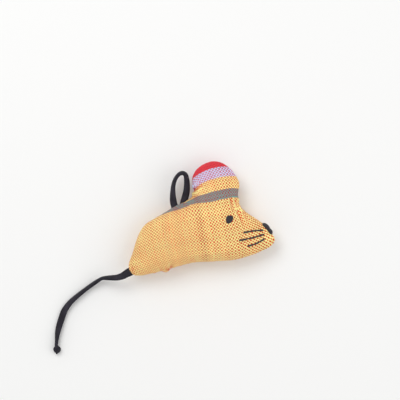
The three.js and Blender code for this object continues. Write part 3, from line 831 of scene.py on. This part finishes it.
# What the hand-sewn stitches do at the closed opening: their ripples in the edge and in its lips,
# the bulge between them, and how far from the opening's middle the ripples and the bulge reach
EDGE_RIPPLE, LIP_RIPPLE = 0.22, 0.3
OPENING_BULGE = 1.1
RIPPLE_REACH, BULGE_REACH = 5, 2.8
# Half the gap between the two panels' edges
EDGE_GAP = 0.06
# The ridges beside a fold: how high, as a share of its depth, and how many half widths away
RIDGE_HEIGHT, RIDGE_PLACE = 0.45, 1.9
# How often along the seam the hand-sewn stitches pull, in radians to the millimetre
HAND_STITCH_RATE = 4.2
# The seam allowance, turned in between the panels: each step inwards, and its height
SEAM_ALLOWANCE = [(0.4, 0.02), (1.2, 0.05), (1.6, 0.1)]
# The least height over the ground
GROUND_GAP = 0.02


def smooth_fade(away, reach):
    """1 on the spot, fading smoothly to 0 at its reach."""
    share = 1 - min(max(away / reach, 0), 1)
    return share * share * (3 - 2 * share)


def lip_lift(point):
    """How far a seam's lip stands off where a strap comes out between the panels."""
    flat = on_plan(point)
    lift = max(smooth_fade((flat - root).length - half, 1.6) for root, half in STRAP_ROOTS)
    return lift * (LACE_THICKNESS / 2 + 0.05)


def crease_depth(point):
    """How deep the folds are at a place: a narrow valley with a low ridge on either side."""
    depth = 0
    for start, end, deep, half in CREASES:
        a, b = Vector((*start, 0)), Vector((*end, 0))
        along = b - a
        share = min(max((point - a).dot(along) / along.length_squared, 0), 1)
        away = (point - a - along * share).length / half
        valley = math.exp(-away * away)
        ridge = RIDGE_HEIGHT * math.exp(-((away - RIDGE_PLACE) ** 2) * 1.3)
        depth += deep * (1 - share ** 1.6) * (valley - ridge)
    return depth


def cut_edge(place, inward, along, side):
    """Where a panel's edge meets the seam: just inside it, gathered a little by the stitches."""
    by_opening = smooth_fade((place - CLOSED_OPENING).length, RIPPLE_REACH)
    gather = noise.noise(Vector((along * GATHER_RATE, side * 3, 0)))
    ripple = math.sin(along * HAND_STITCH_RATE) * EDGE_RIPPLE * by_opening
    target = place + inward * (SEAM_TAKES * (1 - by_opening) + GATHER_DEPTH * gather + ripple)
    return Vector((target.x, target.y, side * (EDGE_GAP + lip_lift(place))))


def pulled_by_seam(height, place, inward, along, side):
    """How far the seam pulls the cloth beside it, at a height over the seam: drawn in close to it,
    puckered by the stitches, and bulging where it was closed by hand."""
    from_opening = (place - CLOSED_OPENING).length
    near = max(1 - height / PULL_CLOSE, 0) ** 2
    pucker = noise.noise(Vector((along * PUCKER_RATE, side * 7, 5)))
    wave = noise.noise(Vector((along * WAVE_RATE, side * 2, 9)))
    fade = max(1 - height / PULL_REACH, 0)
    lip_fade = max(1 - height / PULL_LIPS, 0)
    pull = math.sin(along * HAND_STITCH_RATE + side)
    ripple = pull * LIP_RIPPLE * smooth_fade(from_opening, RIPPLE_REACH) * lip_fade
    bulge = OPENING_BULGE * smooth_fade(from_opening, BULGE_REACH) * fade
    uneven = (pucker * PUCKER_DEPTH + wave * WAVE_DEPTH) * fade ** 1.5
    inwards = near * DRAWN_CLOSE + uneven + ripple - bulge
    return inward * inwards + UP * side * lip_lift(place) * lip_fade


def points_out(bm, side):
    """Whether a panel's faces point outwards, by the one that lies furthest out."""
    outermost = max(bm.faces, key=lambda f: f.calc_center_median().z * side)
    return outermost.normal.z * side >= 0


def panel(name, bag_mesh, side, node):
    """One side of the bag, drawn in to the seam with its puckers, and turned in along the edge."""
    bm = bmesh.new()
    bm.from_mesh(bag_mesh)
    fold_layer = bm.verts.layers.float.new("fold")
    bmesh.ops.scale(bm, vec=(1 / SOLVER,) * 3, verts=bm.verts[:])
    bmesh.ops.bisect_plane(
        bm, geom=bm.verts[:] + bm.edges[:] + bm.faces[:], dist=0.001,
        plane_co=(0, 0, 0), plane_no=(0, 0, side), clear_inner=True)
    # slivers that the cut leaves are merged away
    near_cut = [v for v in bm.verts if abs(v.co.z) < 0.4]
    bmesh.ops.remove_doubles(bm, verts=near_cut, dist=0.25)
    loose = [v for v in bm.verts if not v.link_faces]
    bmesh.ops.delete(bm, geom=loose, context="VERTS")
    bm.normal_update()
    outwards = 1 if points_out(bm, side) else -1
    for vert in bm.verts:
        place, inward, along = seam_near(vert.co)
        if vert.is_boundary:
            vert.co = cut_edge(place, inward, along, side)
            continue
        height = abs(vert.co.z)
        flat = on_plan(vert.co)
        fold = crease_depth(flat)
        vert.co -= vert.normal * outwards * fold
        # the fold's depth is also kept for the cloth's colour, where it paints shade into the creases
        # and highlight onto their ridges
        vert[fold_layer] = fold
        if (flat - place).length < PULL_REACH:
            vert.co += pulled_by_seam(height, place, inward, along, side)
    rim = [e for e in bm.edges if e.is_boundary]
    for inwards, height in SEAM_ALLOWANCE:
        verts, rim = drawn_out(bm, rim)
        for vert in verts:
            place, inward, _ = seam_near(vert.co)
            vert.co += inward * inwards
            vert.co.z = side * (height + lip_lift(place))
    bmesh.ops.recalc_face_normals(bm, faces=bm.faces[:])
    if not points_out(bm, side):
        bmesh.ops.reverse_faces(bm, faces=bm.faces[:])
    for vert in bm.verts:
        vert.co.z = max(vert.co.z + SEAM_HEIGHT, GROUND_GAP)
    return add_piece(name, bm, cotton, "toy", [node])


def unwrap(piece):
    """Lays a panel out flat, as it was cut, in its UV map "weave"."""
    bpy.context.view_layer.objects.active = piece
    bpy.ops.object.select_all(action="DESELECT")
    piece.select_set(True)
    piece.data.uv_layers.new(name="weave")
    bpy.ops.object.mode_set(mode="EDIT")
    bpy.ops.mesh.select_all(action="SELECT")
    bpy.ops.uv.unwrap(method="MINIMUM_STRETCH", iterations=10, margin=0)
    bpy.ops.object.mode_set(mode="OBJECT")


# How far over the seam's height the crown begins, in millimetres
CROWN_RISE = 5


def laid_flat(mesh):
    """Each corner's place on the flat panel in millimetres, with the panel turned and moved so that
    its crown lies under the stuffed one's as well as it can."""
    count = len(mesh.loops)
    uv = np.zeros(count * 2)
    mesh.uv_layers["weave"].data.foreach_get("uv", uv)
    uv = uv.reshape(-1, 2)
    index = np.zeros(count, int)
    mesh.loops.foreach_get("vertex_index", index)
    points = np.zeros(len(mesh.vertices) * 3)
    mesh.vertices.foreach_get("co", points)
    places = points.reshape(-1, 3)[index] / MM
    crown = np.abs(places[:, 2] - SEAM_HEIGHT) > CROWN_RISE
    middle = places[crown, :2].mean(0)
    flat = uv - uv[crown].mean(0)
    real = places[crown, :2] - middle
    for mirror in (1, -1):
        crown_flat = flat[crown] * (mirror, 1)
        u, strengths, vt = np.linalg.svd(crown_flat.T @ real)
        if np.linalg.det(u @ vt) > 0:
            break
    size = strengths.sum() / (crown_flat ** 2).sum()
    return (flat * (mirror, 1)) @ (u @ vt) * size + middle


# The weave's course over the flat panel, as sums of powers of the place in units of 30 mm: the
# stuffing draws the threads a little out of line
COURSE_UNIT = 30
COURSE_POWERS = [(0, 0), (0, 1), (0, 2), (0, 3), (1, 0), (1, 1), (1, 2), (2, 0), (2, 1), (3, 0)]
ALONG_WEFT = [0, 5.59, 0.17, -0.65, 29.42, -0.35, 1.14, -0.14, 1.91, -0.31]
ACROSS_WEFT = [-7.36, 28.94, 0.32, 0.95, -5.41, -0.73, 1.25, 0.58, -0.35, -0.77]
# Where the weft dips besides, at the ear's foot and its pleat: the place, the reach and the depth
WEFT_DIPS = [((-5.4, 7.4), (4.2, 3.6), 1.9), ((-6, 16.5), (2.2, 3), 0.5)]


def weave_course(laid):
    """Where a place on the flat panel lies in the weave: along the weft and across it."""
    x, y = laid[:, 0] / COURSE_UNIT, laid[:, 1] / COURSE_UNIT
    along = sum(size * x ** i * y ** j for size, (i, j) in zip(ALONG_WEFT, COURSE_POWERS))
    across = sum(size * x ** i * y ** j for size, (i, j) in zip(ACROSS_WEFT, COURSE_POWERS))
    for middle, reach, depth in WEFT_DIPS:
        across = across - depth * np.exp(-(((laid - middle) / reach) ** 2).sum(1) / 2)
    return np.stack([along, across], 1)


bag = stuffed(closed_bag())
near_cloth = panel("near_cloth", bag.data, 1, "near_panel")
far_cloth = panel("far_cloth", bag.data, -1, "far_panel")
bpy.data.objects.remove(bag)
for cloth_piece in (near_cloth, far_cloth):
    unwrap(cloth_piece)
    course = weave_course(laid_flat(cloth_piece.data))
    cloth_piece.data.uv_layers["weave"].data.foreach_set("uv", course.ravel())
    add_subdivision(cloth_piece, 1)


# The stuffing

# The even squares' size, how far the whole wad is drawn in, and how deep its hollows are, in
# millimetres, and how many lumps lie along a millimetre
WAD_VOXEL = 1.1
WAD_DRAWN_IN = 0.35
HOLLOW_DEPTH = 0.45
LUMP_RATE = 0.22


def wad(name, node):
    """A wad of loose fibre: the node's form, with lumps and hollows pressed into it."""
    bm = bmesh.new()
    bm.from_mesh(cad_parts[node].data)
    bmesh.ops.remove_doubles(bm, verts=bm.verts[:], dist=0.01 * MM)
    bmesh.ops.scale(bm, vec=(1 / MM,) * 3, verts=bm.verts[:])
    piece = add_piece(name, bm, fill, "toy", [node])
    evened_out(piece, WAD_VOXEL * MM)
    bm = bmesh.new()
    bm.from_mesh(piece.data)
    bmesh.ops.smooth_vert(
        bm, verts=bm.verts[:], factor=0.5, use_axis_x=True, use_axis_y=True, use_axis_z=True)
    bm.normal_update()
    for vert in bm.verts:
        hollow = max(noise.fractal(vert.co / MM * LUMP_RATE, 1.0, 2.0, 4) + 0.6, 0)
        vert.co -= vert.normal * (WAD_DRAWN_IN + HOLLOW_DEPTH * hollow) * MM
    bm.to_mesh(piece.data)
    bm.free()
    piece.data.shade_smooth()
    return piece


wad("body_wad", "body_stuffing")
wad("head_wad", "head_stuffing")
wad("ear_wad", "ear_stuffing")


# The embroidery

def surface_of(piece):
    """A finished piece's surface in millimetres, for laying thread on it."""
    evaluated = piece.evaluated_get(bpy.context.evaluated_depsgraph_get())
    mesh = evaluated.to_mesh()
    points = [v.co / MM for v in mesh.vertices]
    tree = BVHTree.FromPolygons(points, [p.vertices[:] for p in mesh.polygons])
    evaluated.to_mesh_clear()
    return tree


surfaces = {1: surface_of(near_cloth), -1: surface_of(far_cloth)}


def on_cloth(x, y, side, height):
    """A place over the cloth, at a height measured square to it."""
    start = Vector((x, y, SEAM_HEIGHT + side * OVER_ALL))
    hit, normal, _, _ = surfaces[side].ray_cast(start, -UP * side)
    return hit + normal * height


# The eye's stitches: shares of its width and length from its middle, as place, lower end, upper end
EYE_MIDDLE = Vector((14.08, -0.46, 0))
EYE_WIDTH = 3.7
EYE_LENGTH = 4.25
EYE_STITCHES = [
    (-0.50, -0.34, 0.24), (-0.42, -0.45, 0.36), (-0.32, -0.50, 0.43), (-0.22, -0.52, 0.47),
    (-0.11, -0.51, 0.49), (0.00, -0.48, 0.49), (0.11, -0.43, 0.48), (0.21, -0.37, 0.47),
    (0.31, -0.29, 0.46), (0.40, -0.18, 0.43), (0.48, -0.03, 0.34),
]
# How high the stitches rise at the eye's sides, and how much higher in its middle
EYE_RISE = 0.34
EYE_CROWN = 0.16
# The thread's width and thickness, and how deep its ends are let into the cloth
EYE_THREAD = 0.5
EYE_THREAD_THICKNESS = 0.42
LET_IN = 0.12


def satin_eye(name, node, side):
    """The eye: satin stitches laid side by side, each let into the cloth at both its ends."""
    stitches = []
    for place, low, high in EYE_STITCHES:
        x = EYE_MIDDLE.x + place * (EYE_WIDTH - EYE_THREAD)
        crown = EYE_RISE + EYE_CROWN * math.cos(place * math.pi)
        line = []
        for share in shares(11):
            along = (low + (high - low) * share) * (EYE_LENGTH - EYE_THREAD / 2)
            swell = math.sin(math.pi * share) ** 0.5
            line.append(on_cloth(x, EYE_MIDDLE.y + along, side, swell * crown - LET_IN))
        stitches.append(swept(line, EYE_THREAD, EYE_THREAD_THICKNESS, segments=8))
    return add_piece(name, joined(stitches), black_thread, "toy", [node])


# How high the thread of a whisker rises in each stitch, and how deep its two ends go in
WHISKER_RISE = 0.22
WHISKER_DIP = 0.3
# The thread where it comes up and goes down, wide and thick, how much more it is in the middle of a
# stitch, and how much wider still at the cheek
WHISKER_WIDTH, WHISKER_THICKNESS = 0.6, 0.5
WHISKER_WIDER, WHISKER_THICKER = 0.28, 0.18
WHISKER_AT_CHEEK = 0.14
# Each whisker, from its end towards the cheek to its end towards the nose
WHISKERS = {
    "upper": [(21.1, -7.2), (26.2, -6.35), (31.45, -6.0)],
    "middle": [(18.8, -11.2), (25.8, -9.8), (31.9, -8.05)],
    "lower": [(23.1, -14.1), (28.0, -12.55), (32.15, -10.2)],
}


def whisker(name, node, points, side):
    """A line of three back stitches, the thread narrow where it comes up and goes down."""
    flat = smooth_line([(x, y, 0) for x, y in points], 12)
    count = len(flat)
    full = [abs(math.sin(3 * math.pi * step / (count - 1))) ** 0.5 for step in range(count)]
    line = [on_cloth(p.x, p.y, side, WHISKER_RISE * f) for p, f in zip(flat, full)]
    for end in (0, -1):
        line[end] = on_cloth(flat[end].x, flat[end].y, side, -WHISKER_DIP)
    widths = [
        WHISKER_WIDTH + WHISKER_WIDER * f + WHISKER_AT_CHEEK * (1 - step / count) ** 4
        for step, f in enumerate(full)
    ]
    thicknesses = [WHISKER_THICKNESS + WHISKER_THICKER * f for f in full]
    bm = swept(line, widths, thicknesses, segments=10)
    return add_piece(name, bm, black_thread, "toy", [node])


# How deep inside the seam the middle lies that thread is laid round, and from how far out the
# cloth is felt for
EDGE_CORE = 1.8
EDGE_REACH = 8


def over_edge(place, inward, angle, height):
    """A place over the sewn edge, turned by an angle from straight out towards the near side. The
    cloth's edge is felt for at three angles, so that the thread runs smoothly over its puckers."""
    core = Vector((place.x, place.y, SEAM_HEIGHT)) + inward * EDGE_CORE
    reaches = []
    for lean in (-0.3, 0, 0.3):
        out = -inward * math.cos(angle + lean) + UP * math.sin(angle + lean)
        felt = [tree.ray_cast(core + out * EDGE_REACH, -out)[3] for tree in surfaces.values()]
        gaps = [gap for gap in felt if gap is not None]
        reaches.append(EDGE_REACH - min(gaps) if gaps else EDGE_CORE)
    out = -inward * math.cos(angle) + UP * math.sin(angle)
    return core + out * (sum(reaches) / len(reaches) + height)


NOSE_THREAD = 0.66
# The nose's layers of stitches: how many lie side by side, and how far round the edge they spread
NOSE_LAYERS = [(9, 66), (7, 50)]
NOSE_LAYER_HEIGHT = 0.42
# How high the thread's middle lies over the edge, and how deep its ends are let in
NOSE_RISE = 0.55
NOSE_LET_IN = 0.35


def nose_bar(name, node, start, end, lift):
    """One bar of the nose: long stitches laid in two layers along the snout's edge and round it."""
    first, last = (seam_tree.find(Vector((*p, 0)))[1] for p in (start, end))
    stitches = []
    for layer, (strands, spread_angle) in enumerate(NOSE_LAYERS):
        for strand in range(strands):
            angle = math.radians(spread_angle) * (2 * strand / (strands - 1) - 1)
            line = []
            for share in shares(13):
                place = seam_line[round(first + (last - first) * share)]
                _, inward, _ = seam_near(place)
                swell = math.sin(math.pi * share) ** 0.5
                rise = NOSE_RISE + lift + NOSE_LAYER_HEIGHT * layer
                height = swell * rise - NOSE_LET_IN
                line.append(over_edge(place, inward, angle * (0.6 + 0.4 * swell), height))
            stitches.append(swept(line, NOSE_THREAD, NOSE_THREAD, segments=8))
    return add_piece(name, joined(stitches), black_thread, "toy", [node])


# The hand-sewn stitches' places along the seam, in stitches from the opening's middle, how many
# steps of the seam's line lie from one to the next, and how many each one leans over
HAND_STITCHES = (-5, -2, -1, 0, 1, 4)
HAND_STITCH_STEPS = 3.3
HAND_STITCH_LEAN = 4
# How high each one lies in its middle, how deep its ends go in, and how far round the edge it goes,
# in radians
HAND_STITCH_RISE = 0.06
HAND_STITCH_DIP = 0.5
HAND_STITCH_WRAP = 2.4
# The sewing thread's widths in the stitches and in the knot, and its thickness
SEWING_THREAD = 0.3
KNOT_THREAD = 0.28
SEWING_THREAD_THICKNESS = 0.26


def hand_stitch(middle, number):
    """One small slanting stitch over the seam, both its ends let into the cloth."""
    line = []
    for share in shares(11):
        over = share - 0.5
        along = round(number * HAND_STITCH_STEPS + over * HAND_STITCH_LEAN)
        place = seam_line[middle + along]
        _, inward, _ = seam_near(place)
        height = HAND_STITCH_RISE - HAND_STITCH_DIP * (2 * abs(over)) ** 6
        line.append(over_edge(place, inward, over * HAND_STITCH_WRAP, height))
    line = smooth_line([line[0], line[3], line[7], line[10]], 4)
    return swept(line, SEWING_THREAD, SEWING_THREAD_THICKNESS, segments=8)


def closing_stitches():
    """Small slanting stitches in sewing thread that close the opening in the belly's seam, and the
    knot that ends them."""
    middle = seam_tree.find(CLOSED_OPENING)[1]
    stitches = [hand_stitch(middle, number) for number in HAND_STITCHES]
    loop = []
    for step in range(17):
        turn = 2 * math.pi * step / 13 - 0.6
        x = CLOSING_KNOT.x + CLOSING_KNOT_REACH[0] * math.cos(turn)
        y = CLOSING_KNOT.y + CLOSING_KNOT_REACH[1] * math.sin(turn)
        loop.append(on_cloth(x, y, 1, 0.04 + 0.012 * step))
    stitches.append(swept(loop, KNOT_THREAD, SEWING_THREAD_THICKNESS, segments=8))
    return add_piece("belly_closing_stitches", joined(stitches), red_thread, "toy")


for side_name, side in (("near", 1), ("far", -1)):
    satin_eye(f"{side_name}_eye_satin", f"{side_name}_eye", side)
    for place_name, points in WHISKERS.items():
        name = f"{side_name}_whisker_thread_{place_name}"
        whisker(name, f"{side_name}_whisker_{place_name}", points, side)
nose_bar("nose_stitches_upper", "nose_bar_upper", (31.1, -2.7), (34.8, -6.2), 0.22)
nose_bar("nose_stitches_lower", "nose_bar_lower", (33.7, -5.0), (35.9, -7.7), 0.02)
closing_stitches()


# Floor and light

def white_paper():
    """The floor's plain white paper: matt, and pale enough to throw soft light back."""
    material, _ = new_material("white_paper")
    return finished(material, {"Base Color": linear("#f9f9f8"), "Roughness": 0.9})


floor_bm = bmesh.new()
bmesh.ops.create_grid(floor_bm, x_segments=1, y_segments=1, size=3)
floor = new_object("floor", floor_bm)
floor.location.z = -0.05 * MM
floor.data.materials.append(white_paper())


def softbox(name, place, size, power):
    """A square lamp that faces the toy. Its place and size are in metres, its power in watts."""
    lamp = bpy.data.lights.new(name, "AREA")
    lamp.shape = "SQUARE"
    lamp.size = size
    lamp.energy = power
    holder = bpy.data.objects.new(name, lamp)
    holder.location = place
    holder.rotation_mode = "QUATERNION"
    holder.rotation_quaternion = Vector(place).to_track_quat("Z", "Y")
    bpy.context.collection.objects.link(holder)


softbox("key", (-0.3, 0.4, 0.75), 0.5, 2.75)
softbox("fill", (0.6, -0.1, 0.6), 0.8, 1.6)
world = bpy.data.worlds.new("studio")
bpy.context.scene.world = world
world.use_nodes = True
sky = world.node_tree.nodes["Background"]
sky.inputs["Color"].default_value = linear("#ffffff")
sky.inputs["Strength"].default_value = 0.62
bpy.context.scene.view_settings.view_transform = "Standard"
